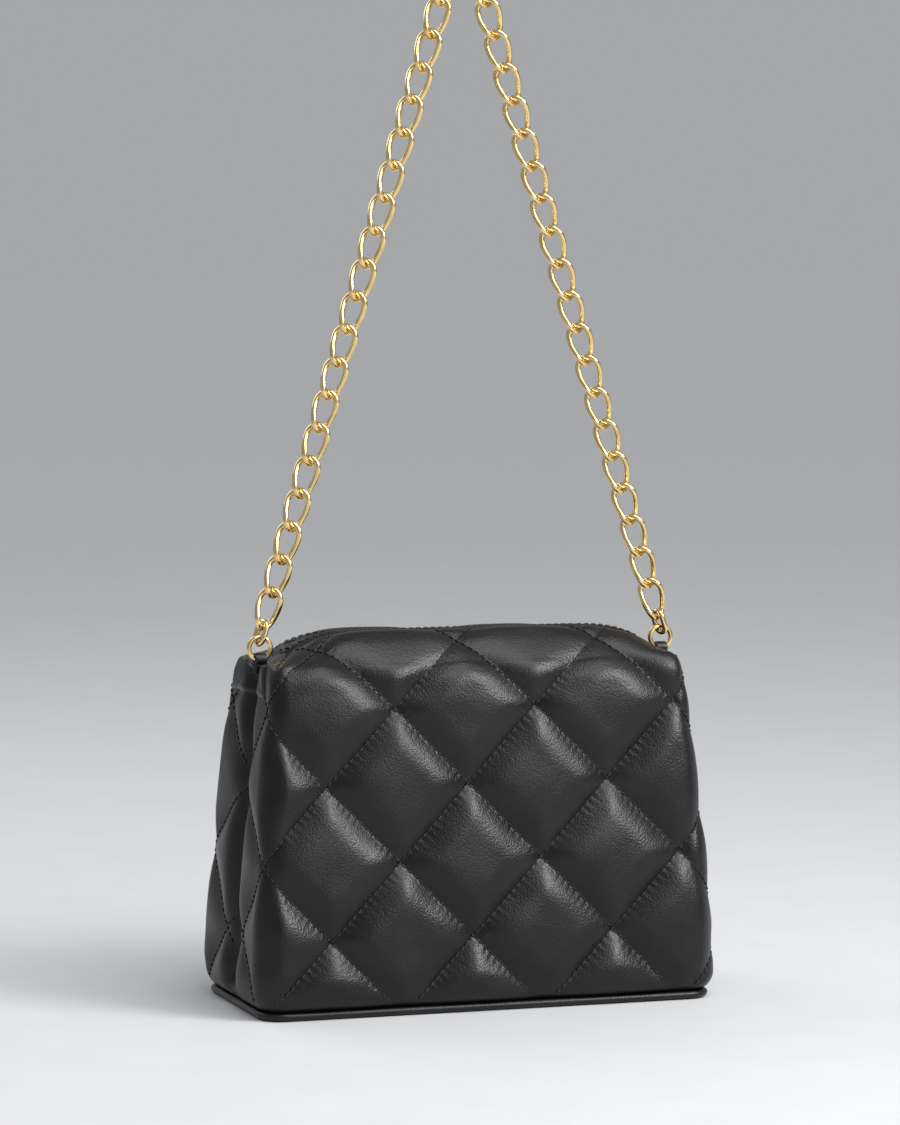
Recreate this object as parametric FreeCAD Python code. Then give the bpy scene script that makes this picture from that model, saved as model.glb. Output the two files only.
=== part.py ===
import FreeCAD, Part
import math
import os

# Chain shoulder bag. Millimetres, +Z up, front towards -Y.
# The origin is the centre of the base, on the surface that the bag stands on.

# Base, as it stands
base_width = 200.0
base_depth = 90.0
base_corner = 11.0
base_panel_thickness = 1.8
base_board_thickness = 2.0
base_board_margin = 3.0
piping_radius = 1.6
piping_clearance = 0.4

# Outline of the walls: drawn in at the foot, swelling at the belly, narrow at the rim
foot_inset = 1.5
belly_z = 30.0
belly_swell = 2.0
belly_corner = 12.0
rim_z = 145.0
rim_taper_width = 14.0
rim_taper_depth = 26.0
rim_corner = 11.0

# Layers of the wall, from outside to inside
leather = 1.4
wadding = 5.0
lining = 0.8
sew_gap = 0.1
side_seam_gap = 0.6

# Quilting: padded diamonds between the stitched lines of the front and back
quilt_half_width = 31.25
quilt_half_height = 32.2
quilt_centre_x = 23.0
quilt_centre_z = 66.0
quilt_rise = 4.6
quilt_groove = 0.8
quilt_bed = 6.0
quilt_shoulder_share = 0.62
quilt_shoulder_rise = 3.1
quilt_top_share = 0.28
quilt_foot_rise = 0.8
quilt_hem = 6.0
quilt_hem_rise = 3.4
quilt_rim_rise = 2.4

# Top halves, hinged along the rim and rising to lips beside the zip
flap_end_inset = 13.0
hinge_inset = 1.5
hinge_rise = 1.2
lip_gap = 9.6
lip_rise = 13.6
facing_width = 12.0
facing_thickness = 1.0

# Closed ends of the top
end_clearance = 0.6
end_gusset_thickness = 1.4

# Zip
zip_recess = 6.2
tape_thickness = 0.6
coil_gap = 1.4
coil_depth = 2.3
coil_height = 1.4
coil_spine = 0.8
tooth_pitch = 2.8
tooth_width = 1.3
lip_clearance = 0.6
stop_length = 2.0

# Zip slider and pull
slider_length = 10.0
slider_side_clearance = 0.8
slider_plate = 1.0
slider_clearance = 0.35
pull_park = 0.7
slider_end_room = 5.0
slider_post = 0.8
slider_flange = 0.7
slider_corner = 1.5
bail_length = 6.4
bail_width = 1.4
bail_wire = 0.9
bail_opening = 1.5
pull_length = 16.0
pull_half_width = 3.0
pull_thickness = 1.1
pull_arm_length = 5.0
pull_arm_width = 1.2
pull_bar_radius = 0.45
pull_eye_radius = 1.2

# Rings and their leather loops
strap_y = -6.0
ring_inset = 2.5
ring_radius = 4.75
ring_wire = 2.0
loop_width = 4.0
loop_clearance = 0.65
loop_leather = 1.0
loop_stem = 2.6
loop_stem_height = 0.6

# Chain
link_wire = 2.4
link_bend = 4.7
link_half_straight = 3.9
link_twist = 36.0
link_slack = 0.35
end_link_clearance = 0.6
end_link_straight = 3.6
end_link_roll = 18.0
top_link_clearance = 0.1
top_link_side_clearance = 0.7

# Links of a strand that move as one, counted up from the ring
link_counts = (3, 1, 1, 8, 1, 1, 5)

# What follows from the sizes above
base_panel_edge = 2 * piping_radius + sew_gap
board_z = base_panel_thickness + sew_gap
foot_z = board_z + base_board_thickness + sew_gap
rim_width = base_width - rim_taper_width
rim_depth = base_depth - rim_taper_depth
piping_z = foot_z - piping_radius - piping_clearance
levels = (
    (foot_z, base_width - 2 * foot_inset, base_depth - 2 * foot_inset, base_corner - foot_inset),
    (belly_z, base_width + 2 * belly_swell, base_depth, belly_corner),
    (rim_z, rim_width, rim_depth, rim_corner),
)
wall_lean = math.atan2(base_depth / 2 - rim_depth / 2, rim_z - belly_z)
wadding_inset = leather + sew_gap
lining_inset = wadding_inset + wadding + sew_gap
cavity_inset = lining_inset + lining

flap_half_length = rim_width / 2 - flap_end_inset
hinge_y = rim_depth / 2 - hinge_inset
hinge_z = rim_z + hinge_rise
lip_z = rim_z + lip_rise
flap_run = hinge_y - lip_gap / 2
flap_rise = lip_z - leather / 2 - hinge_z
flap_slope = math.atan2(flap_rise, flap_run)
flap_length = math.hypot(flap_run, flap_rise)

tape_z = lip_z - zip_recess
tape_top = tape_z + tape_thickness / 2
tape_bottom = tape_z - tape_thickness / 2
coil_bottom = tape_top + sew_gap / 2
coil_top = coil_bottom + coil_height
coil_inner = coil_gap / 2
coil_outer = coil_inner + coil_depth
gusset_inner = flap_half_length + end_clearance
zip_end_half_width = lip_gap / 2 - lip_clearance

slider_half_width = lip_gap / 2 - slider_side_clearance
slider_top = coil_top + slider_clearance + slider_plate
slider_bottom = tape_bottom - slider_clearance - slider_plate
slider_x = flap_half_length - slider_end_room - slider_length / 2
zip_half_length = slider_x - pull_length - pull_park
pull_axis_z = slider_top + bail_opening - pull_bar_radius - slider_clearance / 2

loop_inner = ring_wire / 2 + loop_clearance
loop_outer = loop_inner + loop_leather
ring_x = rim_width / 2 - ring_inset
ring_axis_z = rim_z + loop_stem_height + loop_outer
ring_top_z = ring_axis_z + 2 * ring_radius
end_link_bend = link_wire + end_link_clearance
link_reach = link_half_straight + link_bend
link_pitch = 2 * link_reach - link_wire - link_slack
strand_top_x = link_reach - link_wire - top_link_side_clearance
strand_length = end_link_straight + (sum(link_counts) - 1) * link_pitch + 2 * link_reach
strand_lean = math.asin((ring_x - strand_top_x) / strand_length)
strand_top_z = ring_top_z + strand_length * math.cos(strand_lean)
top_link_z = strand_top_z - link_wire - top_link_clearance


def vec(x, y, z):
    return FreeCAD.Vector(x, y, z)


def box(low, high):
    size = [b - a for a, b in zip(low, high)]
    return Part.makeBox(*size, vec(*low))


def mirrored(shape, normal):
    return shape.mirror(vec(0, 0, 0), vec(*normal))


def save(name, shape):
    shape.exportStep("parts/" + name + ".step")


def rounded_rectangle(width, depth, radius, z):
    arcs = []
    for sx, sy, start in ((1, -1, 270), (1, 1, 0), (-1, 1, 90), (-1, -1, 180)):
        centre = vec(sx * (width / 2 - radius), sy * (depth / 2 - radius), z)
        arcs.append(Part.makeCircle(radius, centre, vec(0, 0, 1), start, start + 90))
    edges = []
    for arc, following in zip(arcs, arcs[1:] + arcs[:1]):
        edges.append(arc)
        edges.append(Part.makeLine(arc.valueAt(arc.LastParameter), following.valueAt(following.FirstParameter)))
    return Part.Wire(edges)


def plate(width, depth, radius, low_z, high_z):
    face = Part.Face(rounded_rectangle(width, depth, radius, low_z))
    return face.extrude(vec(0, 0, high_z - low_z))


def along_x(points, low_x, high_x):
    # A straight bar whose section is the given (y, z) outline
    corners = [vec(low_x, y, z) for y, z in points]
    face = Part.Face(Part.makePolygon(corners + corners[:1]))
    return face.extrude(vec(high_x - low_x, 0, 0))


def bag_form(inset):
    # The bag's tapering outline, drawn in by a wall thickness
    wires = [rounded_rectangle(w - 2 * inset, d - 2 * inset, r - inset, z) for z, w, d, r in levels]
    return Part.makeLoft(wires, True, True)


def front_half():
    reach = base_width
    return box((-reach, -reach, -reach), (reach, -side_seam_gap / 2, 2 * reach))


def front_wall(outer_inset, thickness):
    shell = bag_form(outer_inset).cut(bag_form(outer_inset + thickness))
    return shell.common(front_half())


def over_wall(x, z, out):
    # A place over the front wall: out stands square to the wall
    y = (z - belly_z) * math.tan(wall_lean) - base_depth / 2
    return vec(x, y - out * math.cos(wall_lean), z + out * math.sin(wall_lean))


def pillow(column, row):
    # One padded diamond: upright below the wall's face, then two slopes and a flat top
    x = quilt_centre_x + column * quilt_half_width
    z = quilt_centre_z + row * quilt_half_height
    tiers = (
        (1.0, -quilt_bed),
        (1.0, 0.0),
        (quilt_shoulder_share, quilt_shoulder_rise),
        (quilt_top_share, quilt_rise),
    )
    wires = []
    for share, out in tiers:
        dx = share * (quilt_half_width - quilt_groove)
        dz = share * (quilt_half_height - quilt_groove)
        corners = [over_wall(x + i * dx, z + j * dz, out) for i, j in ((1, 0), (0, 1), (-1, 0), (0, -1))]
        wires.append(Part.makePolygon(corners + corners[:1]))
    return Part.makeLoft(wires, True, True)


def padding_limit():
    # The outside that the padding keeps within, drawn in at the foot, the hem and the rim
    foot, belly, rim = levels
    share = quilt_hem / (belly[0] - foot[0])
    hem = tuple(a + share * (b - a) for a, b in zip(foot, belly))
    rises = (quilt_foot_rise, quilt_hem_rise, quilt_rise, quilt_rim_rise)
    wires = []
    for (z, w, d, r), out in zip((foot, hem, belly, rim), rises):
        wires.append(rounded_rectangle(w + 2 * out, d + 2 * out, r + out, z))
    return Part.makeLoft(wires, True, True)


def front_panel():
    # The diamonds stand in every other place of a grid of half diamonds
    first_column = -math.ceil((base_width / 2 + quilt_centre_x) / quilt_half_width)
    last_column = math.ceil((base_width / 2 - quilt_centre_x) / quilt_half_width)
    first_row = -math.ceil(quilt_centre_z / quilt_half_height)
    last_row = math.ceil((rim_z - quilt_centre_z) / quilt_half_height)
    places = []
    for column in range(first_column, last_column + 1):
        for row in range(first_row, last_row + 1):
            if (column + row) % 2:
                places.append((column, row))
    room = padding_limit().cut(bag_form(leather)).common(front_half())
    padding = Part.makeCompound([pillow(*place) for place in places]).common(room)
    return front_wall(0, leather).multiFuse(padding.Solids).removeSplitter()


def lining_bag():
    floor_z = foot_z + lining
    above_floor = box((-base_width, -base_width, floor_z), (base_width, base_width, 2 * base_width))
    return bag_form(lining_inset).cut(bag_form(cavity_inset).common(above_floor))


def base_plate(margin, low_z, thickness):
    edge = base_panel_edge + margin
    return plate(base_width - 2 * edge, base_depth - 2 * edge, base_corner - edge, low_z, low_z + thickness)


def base_piping():
    r = piping_radius
    path = rounded_rectangle(base_width - 2 * r, base_depth - 2 * r, base_corner - r, piping_z)
    start = path.Edges[0]
    section = Part.makeCircle(r, start.valueAt(start.FirstParameter), start.tangentAt(start.FirstParameter))
    return path.makePipeShell([Part.Wire([section])], True, False)


def flap_point(u, w):
    # u runs up the front half of the top from its hinge, w stands square to it
    y = -hinge_y + u * math.cos(flap_slope) - w * math.sin(flap_slope)
    z = hinge_z + u * math.sin(flap_slope) + w * math.cos(flap_slope)
    return y, z


def flap_strip(low_u, high_u, low_w, high_w):
    outline = [flap_point(u, w) for u, w in ((low_u, low_w), (high_u, low_w), (high_u, high_w), (low_u, high_w))]
    return along_x(outline, -flap_half_length, flap_half_length)


def front_top_panel():
    return flap_strip(0, flap_length, -leather / 2, leather / 2)


def front_facing():
    low = leather / 2 + sew_gap
    return flap_strip(flap_length - facing_width, flap_length, low, low + facing_thickness)


def front_zip_tape():
    # The tape lies level and is sewn to the underside of the sloping leather
    underside = hinge_z - leather / 2 / math.cos(flap_slope)
    sewn_y = hinge_y - (tape_top + sew_gap - underside) / math.tan(flap_slope)
    low = (-zip_half_length, -sewn_y, tape_bottom)
    return box(low, (zip_half_length, -coil_inner, tape_top))


def front_zip_coil():
    # A comb: a spine along the tape with a tooth at each step
    root = -coil_outer + coil_spine
    count = int(2 * zip_half_length / tooth_pitch)
    first = -(count - 1) / 2 * tooth_pitch
    outline = [(-zip_half_length, -coil_outer), (-zip_half_length, root)]
    for i in range(count):
        low = first + i * tooth_pitch - tooth_width / 2
        high = low + tooth_width
        outline += [(low, root), (low, -coil_inner), (high, -coil_inner), (high, root)]
    outline += [(zip_half_length, root), (zip_half_length, -coil_outer)]
    corners = [vec(x, y, coil_bottom) for x, y in outline]
    face = Part.Face(Part.makePolygon(corners + corners[:1]))
    return face.extrude(vec(0, 0, coil_height))


def right_end_gusset():
    # Closes the space under the end of the top, from the rim up to the ridge
    half = hinge_y - hinge_inset
    low = rim_z + sew_gap
    ridge = zip_end_half_width
    ridge_z = tape_bottom
    eave = low + hinge_rise / 2
    outline = [(-half, low), (half, low), (half, eave), (ridge, ridge_z), (-ridge, ridge_z), (-half, eave)]
    return along_x(outline, gusset_inner, gusset_inner + end_gusset_thickness)


def right_zip_end():
    # The last stretch of tape, slotted for the slider's post
    inner = zip_half_length + end_clearance
    outer = gusset_inner - sew_gap / 2
    tape = box((inner, -zip_end_half_width, tape_bottom), (outer, zip_end_half_width, tape_top))
    slot_end = slider_x + slider_length / 2 + slider_clearance
    return tape.cut(box((inner - 1, -coil_inner, tape_bottom - 1), (slot_end, coil_inner, tape_top + 1)))


def right_zip_stop():
    # A pair of crimped blocks, one each side of the slot
    low = slider_x - stop_length / 2
    block = box((low, coil_inner, coil_bottom), (low + stop_length, coil_outer, coil_top))
    return Part.makeCompound([block, mirrored(block, (0, 1, 0))])


def zip_slider():
    half = slider_length / 2
    low, high = slider_x - half, slider_x + half
    wide = slider_half_width
    upper = box((low, -wide, slider_top - slider_plate), (high, wide, slider_top))
    lower = box((low, -wide, slider_bottom), (high, wide, slider_bottom + slider_plate))
    plates = []
    for shape in (upper, lower):
        upright = [e for e in shape.Edges if abs(e.tangentAt(e.FirstParameter).z) > 0.9]
        plates.append(shape.makeFillet(slider_corner, upright))
    post = box((slider_x, -slider_post / 2, slider_bottom + slider_plate / 2),
               (high - slider_corner, slider_post / 2, slider_top - slider_plate / 2))
    body = plates[0].fuse(plates[1]).fuse(post)
    flange_low = tape_top + slider_clearance
    for side in (-1, 1):
        edge = sorted((side * wide, side * (wide - slider_flange)))
        flange = box((low + slider_corner, edge[0], flange_low),
                     (high - slider_corner, edge[1], slider_top - slider_plate / 2))
        body = body.fuse(flange)
    return body.fuse(slider_bail()).removeSplitter()


def slider_bail():
    # The arch that the pull's bar runs under
    half = bail_length / 2
    top = slider_top + bail_opening + bail_wire
    block = box((slider_x - half, -bail_width / 2, slider_top - slider_plate / 2),
                (slider_x + half, bail_width / 2, top))
    inside = half - bail_wire
    window = box((slider_x - inside, -bail_width, slider_top),
                 (slider_x + inside, bail_width, slider_top + bail_opening))
    return block.cut(window)


def zip_pull():
    # A bar under the bail, two arms beside it, and a tab with an eye at its end
    thick = pull_thickness / 2
    arm_start = bail_width / 2 + slider_clearance
    arm_end = arm_start + pull_arm_width
    bar = Part.makeCylinder(pull_bar_radius, 2 * arm_end, vec(slider_x, -arm_end, pull_axis_z), vec(0, 1, 0))
    pull = bar
    tab_x = slider_x - pull_arm_length
    for side in (-1, 1):
        edge = sorted((side * arm_start, side * arm_end))
        knuckle = Part.makeCylinder(thick, pull_arm_width, vec(slider_x, edge[0], pull_axis_z), vec(0, 1, 0))
        arm = box((tab_x - 1, edge[0], pull_axis_z - thick), (slider_x, edge[1], pull_axis_z + thick))
        pull = pull.fuse(knuckle).fuse(arm)
    end_x = slider_x - pull_length
    tab = box((end_x + pull_half_width, -pull_half_width, pull_axis_z - thick),
              (tab_x, pull_half_width, pull_axis_z + thick))
    low_face = vec(end_x + pull_half_width, 0, pull_axis_z - thick)
    tab = tab.fuse(Part.makeCylinder(pull_half_width, pull_thickness, low_face))
    tab = tab.cut(Part.makeCylinder(pull_eye_radius, pull_thickness, low_face))
    return pull.fuse(tab).removeSplitter()


def right_ring_loop():
    # A leather strip folded round the ring's foot and sewn into the rim
    low_x = ring_x - loop_width / 2
    axis = vec(low_x, strap_y, ring_axis_z)
    roll = Part.makeCylinder(loop_outer, loop_width, axis, vec(1, 0, 0))
    stem = box((low_x, strap_y - loop_stem / 2, rim_z + sew_gap),
               (low_x + loop_width, strap_y + loop_stem / 2, ring_axis_z))
    bore = Part.makeCylinder(loop_inner, loop_width, axis, vec(1, 0, 0))
    return roll.fuse(stem).cut(bore).removeSplitter()


def right_ring():
    centre = vec(ring_x, strap_y, ring_axis_z + ring_radius)
    return Part.makeTorus(ring_radius, ring_wire / 2, centre, vec(0, 1, 0))


def wire_along(edges, diameter):
    # Round wire bent along a closed path of lines and arcs, one length at a time
    lengths = []
    for edge in edges:
        start = edge.FirstParameter
        circle = Part.makeCircle(diameter / 2, edge.valueAt(start), edge.tangentAt(start))
        section = Part.Face(Part.Wire([circle]))
        if isinstance(edge.Curve, Part.Circle):
            turn = math.degrees(edge.LastParameter - start)
            lengths.append(section.revolve(edge.Curve.Center, edge.Curve.Axis, turn))
        else:
            lengths.append(section.extrude(edge.valueAt(edge.LastParameter) - edge.valueAt(start)))
    return lengths[0].multiFuse(lengths[1:]).Solids[0]


def arc(start, middle, end):
    return Part.Arc(start, middle, end).toShape()


def chain_link():
    # A twisted link about its own centre, standing along Z: two half-circle bends
    # turned opposite ways about Z, joined by legs that each make a flat S
    twist = math.radians(link_twist)
    side_x = link_bend * math.cos(twist)
    side_y = link_bend * math.sin(twist)
    tall = link_half_straight
    reach = link_reach
    upper = arc(vec(side_x, -side_y, tall), vec(0, 0, reach), vec(-side_x, side_y, tall))
    lower = arc(vec(-side_x, -side_y, -tall), vec(0, 0, -reach), vec(side_x, side_y, -tall))
    turn = 2 * math.atan2(side_y, tall)
    leg_radius = tall / math.sin(turn)
    bulge = leg_radius * (1 - math.cos(turn / 2))
    drop = leg_radius * math.sin(turn / 2)
    left_high = arc(vec(-side_x, side_y, tall), vec(-side_x, side_y - bulge, tall - drop), vec(-side_x, 0, 0))
    left_low = arc(vec(-side_x, 0, 0), vec(-side_x, bulge - side_y, drop - tall), vec(-side_x, -side_y, -tall))
    right_low = arc(vec(side_x, side_y, -tall), vec(side_x, side_y - bulge, drop - tall), vec(side_x, 0, 0))
    right_high = arc(vec(side_x, 0, 0), vec(side_x, bulge - side_y, tall - drop), vec(side_x, -side_y, tall))
    return wire_along([upper, left_high, left_low, lower, right_low, right_high], link_wire)


def end_link():
    # A plain long link; its lower bend is centred on the origin
    r, tall = end_link_bend, end_link_straight
    edges = [
        arc(vec(0, r, tall), vec(0, 0, tall + r), vec(0, -r, tall)),
        Part.makeLine(vec(0, -r, tall), vec(0, -r, 0)),
        arc(vec(0, -r, 0), vec(0, 0, -r), vec(0, r, 0)),
        Part.makeLine(vec(0, r, 0), vec(0, r, tall)),
    ]
    link = wire_along(edges, link_wire)
    link.rotate(vec(0, 0, 0), vec(0, 0, 1), end_link_roll)
    return link


def on_strand(shape, side, distance):
    # Stands a shape on the strand of one side, a distance up from the ring's top
    placed = shape.copy()
    placed.translate(vec(0, 0, distance))
    placed.rotate(vec(0, 0, 0), vec(0, 1, 0), -side * math.degrees(strand_lean))
    placed.translate(vec(side * ring_x, strap_y, ring_top_z))
    return placed


def strand_groups(side, link):
    groups = []
    index = 0
    for count in link_counts:
        links = []
        for i in range(index, index + count):
            distance = end_link_straight + link_reach + i * link_pitch
            links.append(on_strand(link, side, distance))
        groups.append(Part.makeCompound(links))
        index += count
    return groups


def top_link(link):
    placed = link.copy()
    placed.rotate(vec(0, 0, 0), vec(0, 1, 0), -90)
    placed.translate(vec(0, strap_y, top_link_z))
    return placed


def build():
    os.makedirs("parts", exist_ok=True)

    save("lining", lining_bag())
    save("base_panel", base_plate(0, 0, base_panel_thickness))
    save("base_board", base_plate(base_board_margin, board_z, base_board_thickness))
    save("base_piping", base_piping())

    paired_pieces = (
        ("panel", front_panel()),
        ("wadding", front_wall(wadding_inset, wadding)),
        ("top_panel", front_top_panel()),
        ("facing", front_facing()),
        ("zip_tape", front_zip_tape()),
        ("zip_coil", front_zip_coil()),
    )
    for name, shape in paired_pieces:
        save("front_" + name, shape)
        save("back_" + name, mirrored(shape, (0, 1, 0)))

    end_pieces = (
        ("end_gusset", right_end_gusset()),
        ("zip_end", right_zip_end()),
        ("zip_stop", right_zip_stop()),
        ("ring_loop", right_ring_loop()),
        ("ring", right_ring()),
    )
    for name, shape in end_pieces:
        save("right_" + name, shape)
        save("left_" + name, mirrored(shape, (1, 0, 0)))

    save("zip_slider", zip_slider())
    save("zip_pull", zip_pull())

    link = chain_link()
    for name, side in (("left", -1), ("right", 1)):
        save(name + "_end_link", on_strand(end_link(), side, 0))
        for i, group in enumerate(strand_groups(side, link), 1):
            save(name + "_links_" + str(i), group)
    save("top_link", top_link(link))


build()
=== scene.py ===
import math

import bpy
import numpy as np
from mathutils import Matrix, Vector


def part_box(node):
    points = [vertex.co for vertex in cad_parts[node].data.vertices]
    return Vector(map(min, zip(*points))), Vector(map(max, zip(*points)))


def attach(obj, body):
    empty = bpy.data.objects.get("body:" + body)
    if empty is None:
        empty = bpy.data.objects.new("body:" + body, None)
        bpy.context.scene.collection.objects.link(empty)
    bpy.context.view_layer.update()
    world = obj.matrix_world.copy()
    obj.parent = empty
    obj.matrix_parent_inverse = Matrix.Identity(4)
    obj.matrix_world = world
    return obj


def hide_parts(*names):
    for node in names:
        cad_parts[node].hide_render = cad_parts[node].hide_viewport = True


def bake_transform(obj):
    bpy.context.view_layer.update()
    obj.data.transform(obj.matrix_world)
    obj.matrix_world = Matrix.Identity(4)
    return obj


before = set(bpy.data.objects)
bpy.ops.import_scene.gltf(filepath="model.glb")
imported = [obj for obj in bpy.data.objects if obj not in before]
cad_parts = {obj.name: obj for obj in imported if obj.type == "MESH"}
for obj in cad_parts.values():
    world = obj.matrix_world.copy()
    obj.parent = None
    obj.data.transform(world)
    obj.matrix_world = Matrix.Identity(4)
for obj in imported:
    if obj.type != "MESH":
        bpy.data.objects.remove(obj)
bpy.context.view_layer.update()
mm = 0.001
print("frame loaded")


def linear(hexColour):
    channels = [int(hexColour[i:i + 2], 16) / 255 for i in (1, 3, 5)]
    return tuple(c / 12.92 if c <= 0.04045 else ((c + 0.055) / 1.055) ** 2.4 for c in channels) + (1,)


def addNode(tree, kind, settings=(), links=()):
    # a setting or link names a property or an input of the node, inputs also by number
    node = tree.nodes.new(kind)
    for name, value in dict(settings).items():
        if isinstance(name, str) and hasattr(node, name):
            setattr(node, name, value)
        else:
            node.inputs[name].default_value = value
    for name, socket in dict(links).items():
        tree.links.new(socket, node.inputs[name])
    return node


def newMaterial(name, settings):
    material = bpy.data.materials.new(name)
    material.use_nodes = True
    tree = material.node_tree
    shader = tree.nodes["Principled BSDF"]
    for socket, value in settings.items():
        shader.inputs[socket].default_value = value
    place = addNode(tree, "ShaderNodeTexCoord").outputs["Object"]
    return material, tree, shader, place


def colourRamp(tree, fac, stops):
    # stops are (place, hex colour)
    ramp = addNode(tree, "ShaderNodeValToRGB", links={"Fac": fac})
    elements = ramp.color_ramp.elements
    while len(elements) < len(stops):
        elements.new(0.5)
    for element, (place, colour) in zip(elements, stops):
        element.position = place
        element.color = linear(colour)
    return ramp.outputs["Color"]


# drum-dyed lambskin with a satin finish: near black, soft broad gloss, fine pebbled grain
nappaSettings = {
    "dark": "#09090a", "light": "#121213", "grain": 0.8, "crease": 0.45, "mottle": 16,
    "roughness": (0.31, 0.38), "grainDepth": 0.1, "creaseDepth": 0.02,
    "bendSize": 2.4, "bendShift": 0.45, "gloss": 0.33,
}


def nappaLeather(name, grainShare):
    s = nappaSettings
    material, tree, shader, place = newMaterial(name, {"IOR": 1.5, "Specular IOR Level": s["gloss"]})
    mottle = addNode(tree, "ShaderNodeTexNoise", {"Scale": 1 / (s["mottle"] * mm), "Detail": 3},
                     {"Vector": place})
    colour = colourRamp(tree, mottle.outputs["Fac"], [(0.35, s["dark"]), (0.7, s["light"])])
    tree.links.new(colour, shader.inputs["Base Color"])
    low, high = s["roughness"]
    rough = addNode(tree, "ShaderNodeMapRange",
                    {"From Min": 0.3, "From Max": 0.7, "To Min": low, "To Max": high},
                    {"Value": mottle.outputs["Fac"]})
    tree.links.new(rough.outputs["Result"], shader.inputs["Roughness"])
    # pebbles of the grain, bent out of their even cells by a noise
    bend = addNode(tree, "ShaderNodeTexNoise", {"Scale": 1 / (s["bendSize"] * mm), "Detail": 2},
                   {"Vector": place})
    shift = addNode(tree, "ShaderNodeVectorMath", {"operation": "SCALE", "Scale": s["bendShift"] * mm},
                    {0: bend.outputs["Color"]})
    bent = addNode(tree, "ShaderNodeVectorMath", {"operation": "ADD"}, {0: place, 1: shift.outputs["Vector"]})
    pebble = addNode(tree, "ShaderNodeTexVoronoi",
                     {"feature": "SMOOTH_F1", "Scale": 1 / (s["grain"] * mm), "Smoothness": 0.5},
                     {"Vector": bent.outputs["Vector"]})
    crease = addNode(tree, "ShaderNodeTexNoise", {"Scale": 1 / (s["crease"] * mm), "Detail": 2},
                     {"Vector": place})
    coarse = addNode(tree, "ShaderNodeBump",
                     {"invert": True, "Strength": grainShare, "Distance": s["grainDepth"] * mm},
                     {"Height": pebble.outputs["Distance"]})
    fine = addNode(tree, "ShaderNodeBump", {"Strength": grainShare, "Distance": s["creaseDepth"] * mm},
                   {"Height": crease.outputs["Fac"], "Normal": coarse.outputs["Normal"]})
    tree.links.new(fine.outputs["Normal"], shader.inputs["Normal"])
    return material


quiltedNappa = nappaLeather("quilted nappa leather", 1.0)
plainNappa = nappaLeather("plain nappa leather", 0.6)

# the wave texture's own repeat at a scale of 1
waveLength = 0.314


def wovenThread(name, dark, light, pitch, roughness, slant):
    # twisted or woven yarn: fine ribs at the yarn's pitch, dull, a little fuzzy
    material, tree, shader, place = newMaterial(name, {"Roughness": roughness})
    turned = addNode(tree, "ShaderNodeMapping", {"Rotation": slant}, {"Vector": place})
    ribs = addNode(tree, "ShaderNodeTexWave",
                   {"Scale": waveLength / (pitch * mm), "Distortion": 0.6, "Detail": 1},
                   {"Vector": turned.outputs["Vector"]})
    colour = colourRamp(tree, ribs.outputs["Fac"], [(0.1, dark), (0.9, light)])
    tree.links.new(colour, shader.inputs["Base Color"])
    bump = addNode(tree, "ShaderNodeBump", {"Strength": 0.7, "Distance": 0.2 * pitch * mm},
                   {"Height": ribs.outputs["Fac"]})
    tree.links.new(bump.outputs["Normal"], shader.inputs["Normal"])
    return material


blackThread = wovenThread("bonded nylon thread", "#060606", "#121213", 0.7, 0.5, (0.6, 0.5, 0.8))
tapeWeave = wovenThread("woven polyester tape", "#0b0b0c", "#19191a", 0.6, 0.75, (0, 0, 0.785))
liningTwill = wovenThread("woven lining twill", "#16161a", "#26262b", 0.9, 0.8, (0.5, 0, 0.785))
coilNylon = wovenThread("nylon zip coil", "#0d0d0e", "#171718", 0.5, 0.35, (0, 0, 0))


brassSettings = {"deep": "#d9bb80", "pale": "#ebd29c", "cloud": 7, "rub": 0.6, "roughness": (0.12, 0.2),
                 "rubDepth": 0.02, "rubStrength": 0.05}


def platedBrass():
    # polished brass, electroplated pale gold: sharp warm reflections, faint rub marks
    s = brassSettings
    material, tree, shader, place = newMaterial("plated brass", {"Metallic": 1.0})
    cloud = addNode(tree, "ShaderNodeTexNoise", {"Scale": 1 / (s["cloud"] * mm), "Detail": 3},
                    {"Vector": place})
    rub = addNode(tree, "ShaderNodeTexNoise", {"Scale": 1 / (s["rub"] * mm), "Detail": 3, "Distortion": 1.5},
                  {"Vector": place})
    colour = colourRamp(tree, cloud.outputs["Fac"], [(0.3, s["deep"]), (0.7, s["pale"])])
    tree.links.new(colour, shader.inputs["Base Color"])
    low, high = s["roughness"]
    rough = addNode(tree, "ShaderNodeMapRange",
                    {"From Min": 0.3, "From Max": 0.7, "To Min": low, "To Max": high},
                    {"Value": rub.outputs["Fac"]})
    tree.links.new(rough.outputs["Result"], shader.inputs["Roughness"])
    bump = addNode(tree, "ShaderNodeBump", {"Strength": s["rubStrength"], "Distance": s["rubDepth"] * mm},
                   {"Height": rub.outputs["Fac"]})
    tree.links.new(bump.outputs["Normal"], shader.inputs["Normal"])
    return material


boardSettings = {"dark": "#5a4632", "light": "#7d654a", "fleck": 1.5, "roughness": 0.9}


def pressedBoard():
    # pressed wood fibre: brown, matt, flecked
    s = boardSettings
    material, tree, shader, place = newMaterial("pressed fibreboard", {"Roughness": s["roughness"]})
    fleck = addNode(tree, "ShaderNodeTexNoise", {"Scale": 1 / (s["fleck"] * mm), "Detail": 4},
                    {"Vector": place})
    colour = colourRamp(tree, fleck.outputs["Fac"], [(0.35, s["dark"]), (0.65, s["light"])])
    tree.links.new(colour, shader.inputs["Base Color"])
    return material


goldPlate = platedBrass()
fibreboard = pressedBoard()
metalWords = ("ring", "link", "slider", "pull", "stop")
for name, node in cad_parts.items():
    finish = goldPlate if any(word in name for word in metalWords) and "loop" not in name else None
    if name == "base_board":
        finish = fibreboard
    if finish:
        node.data.materials.clear()
        node.data.materials.append(finish)
print("materials ready")


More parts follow.
